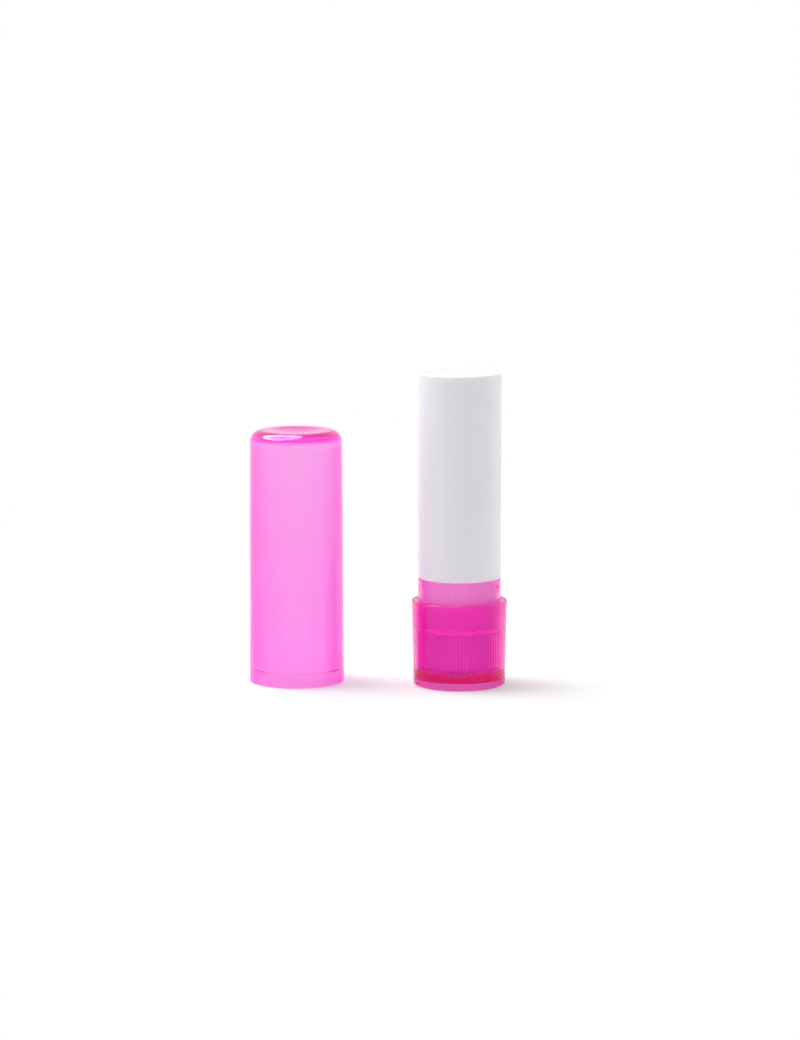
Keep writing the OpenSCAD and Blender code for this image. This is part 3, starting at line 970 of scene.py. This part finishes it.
class LIPBALM_OT_stage(bpy.types.Operator):
    """Set the camera, the floor, the room's light and the two lamps"""
    bl_idname = "lip_balm.stage"
    bl_label = "Stage"

    def execute(self, context):
        stage = context.scene.lip_balm_stage
        context.scene.view_settings.view_transform = "Standard"
        self.set_camera(context.scene, stage)
        self.lay_floor(context.scene, stage)
        self.light_room(context.scene, stage)
        self.hang_lamp(context.scene, stage, "Softbox", stage.softbox_power, stage.softbox_size)
        # This lamp is only seen mirrored, where a highlight is brighter than the softbox makes it
        glint = self.hang_lamp(context.scene, stage, "Glint", stage.glint_power, stage.glint_size)
        glint.data.color = stage.glint_colour
        glint.visible_diffuse = False
        glint.visible_transmission = False
        cycles = context.scene.cycles
        # Light runs far along inside a clear wall, and each turn inside it counts as a bounce
        cycles.max_bounces = 48
        cycles.transmission_bounces = 48
        cycles.glossy_bounces = 48
        cycles.diffuse_bounces = 6
        return {"FINISHED"}

    @staticmethod
    def set_camera(scene, stage):
        """The view of the stick and its cap from a little above."""
        data = bpy.data.cameras.new("Camera")
        data.sensor_width = 36
        data.lens = stage.lens
        data.clip_start, data.clip_end = 10 * MM, 10000 * MM
        camera = bpy.data.objects.new("Camera", data)
        camera.location = (stage.camera_x, stage.camera_y, stage.camera_z)
        camera.rotation_euler = (pi / 2 - stage.camera_tilt, 0, 0)
        scene.collection.objects.link(camera)
        scene.camera = camera

    @staticmethod
    def seen(nodes):
        """1 for what a camera sees, straight, mirrored or through glass, and 0 for the rest."""
        path = nodes.add("ShaderNodeLightPath")
        both = path["Is Camera Ray"] + path["Is Glossy Ray"] + path["Is Transmission Ray"]
        return both.maths("MINIMUM", 1.0)

    @staticmethod
    def lay_floor(scene, stage):
        """A pale floor that keeps the shadows near the pieces and is plain white far out."""
        material, nodes = new_material("Floor")
        matt = nodes.add("ShaderNodeBsdfDiffuse", None, Color=(*stage.floor_colour, 1))
        through = nodes.add("ShaderNodeLightPath")["Is Transmission Ray"]
        apart = from_axis(nodes, CUP_CENTRE)
        # Right under the cup nothing is taken away
        drop = through * blend_step(nodes, apart, CUP_RADIUS, 2 * CUP_RADIUS) * stage.floor_drop
        lift = nodes.add("ShaderNodeEmission", None, Color=(1, 1, 1, 1),
                         Strength=stage.floor_lift - drop)
        lifted = nodes.add("ShaderNodeAddShader", None, matt, lift)
        white = nodes.add("ShaderNodeEmission", None, Color=(1, 1, 1, 1), Strength=1.0)
        away = blend_step(nodes, apart, stage.floor_near, stage.floor_far)
        both = nodes.add("ShaderNodeMixShader", None, away, lifted, white)
        nodes.add("ShaderNodeOutputMaterial", None, both)
        half = stage.floor_width / 2
        height = -stage.floor_gap
        mesh = bpy.data.meshes.new("floor")
        mesh.from_pydata([(x, y, height) for x, y in
                          ((-half, -half), (half, -half), (half, half), (-half, half))],
                         [], [(0, 1, 2, 3)])
        floor = bpy.data.objects.new("floor", mesh)
        floor.data.materials.append(material)
        scene.collection.objects.link(floor)

    def light_room(self, scene, stage):
        """A soft room, which the camera, mirrors and glass see as plain white."""
        world = bpy.data.worlds.new("Room")
        world.use_nodes = True
        world.node_tree.nodes.clear()
        nodes = Nodes(world.node_tree)
        direction = nodes.add("ShaderNodeTexCoord")["Generated"]
        parts = nodes.add("ShaderNodeSeparateXYZ", None, direction)
        room = parts["Y"] * stage.room_back - parts["Z"] * stage.room_dim + stage.room_level
        room = room - parts["X"] * stage.room_left
        seen = self.seen(nodes)
        strength = room + (1.0 - room) * seen
        light = nodes.add("ShaderNodeBackground", None, (1, 1, 1, 1), strength)
        nodes.add("ShaderNodeOutputWorld", None, light)
        scene.world = world

    @staticmethod
    def hang_lamp(scene, stage, name, power, size):
        """A round lamp in the softbox's place, turned to the middle between cap and stick."""
        data = bpy.data.lights.new(name, "AREA")
        data.shape = "DISK"
        data.size = size
        data.energy = power
        lamp = bpy.data.objects.new(name, data)
        across = cos(stage.softbox_height)
        towards = Vector((across * cos(stage.softbox_turn), across * sin(stage.softbox_turn),
                          sin(stage.softbox_height)))
        middle = (CAP_CENTRE + CUP_CENTRE) / 2
        lamp.location = middle + towards * stage.softbox_far
        lamp.rotation_euler = towards.to_track_quat("Z", "Y").to_euler()
        scene.collection.objects.link(lamp)
        return lamp


class LIPBALM_PT_panel(bpy.types.Panel):
    """Buttons that build the stick, piece by piece"""
    bl_label = "Lip Balm Stick"
    bl_idname = "LIPBALM_PT_panel"
    bl_space_type = "VIEW_3D"
    bl_region_type = "UI"
    bl_category = "Lip Balm"

    def draw(self, context):
        for operator in OPERATORS:
            self.layout.operator(operator.bl_idname)


GROUPS = {
    "lip_balm_plastic": LipBalmPlastic,
    "lip_balm_white": LipBalmWhite,
    "lip_balm_cap": LipBalmCap,
    "lip_balm_cup": LipBalmCup,
    "lip_balm_sleeve": LipBalmSleeve,
    "lip_balm_barrel": LipBalmBarrel,
    "lip_balm_wax": LipBalmWax,
    "lip_balm_stage": LipBalmStage,
}
OPERATORS = (LIPBALM_OT_cap, LIPBALM_OT_cup, LIPBALM_OT_sleeve, LIPBALM_OT_barrel,
             LIPBALM_OT_balm, LIPBALM_OT_works, LIPBALM_OT_stage)


def register():
    for name, group in GROUPS.items():
        bpy.utils.register_class(group)
        setattr(bpy.types.Scene, name, PointerProperty(type=group))
    for item in (*OPERATORS, LIPBALM_PT_panel):
        bpy.utils.register_class(item)


def unregister():
    for item in reversed((*OPERATORS, LIPBALM_PT_panel)):
        bpy.utils.unregister_class(item)
    for name, group in reversed(GROUPS.items()):
        delattr(bpy.types.Scene, name)
        bpy.utils.unregister_class(group)


def main():
    register()
    bpy.ops.lip_balm.stage()
    bpy.ops.lip_balm.cap()
    bpy.ops.lip_balm.cup()
    bpy.ops.lip_balm.sleeve()
    bpy.ops.lip_balm.barrel()
    bpy.ops.lip_balm.balm()
    bpy.ops.lip_balm.works()


if __name__ == "__main__":
    main()
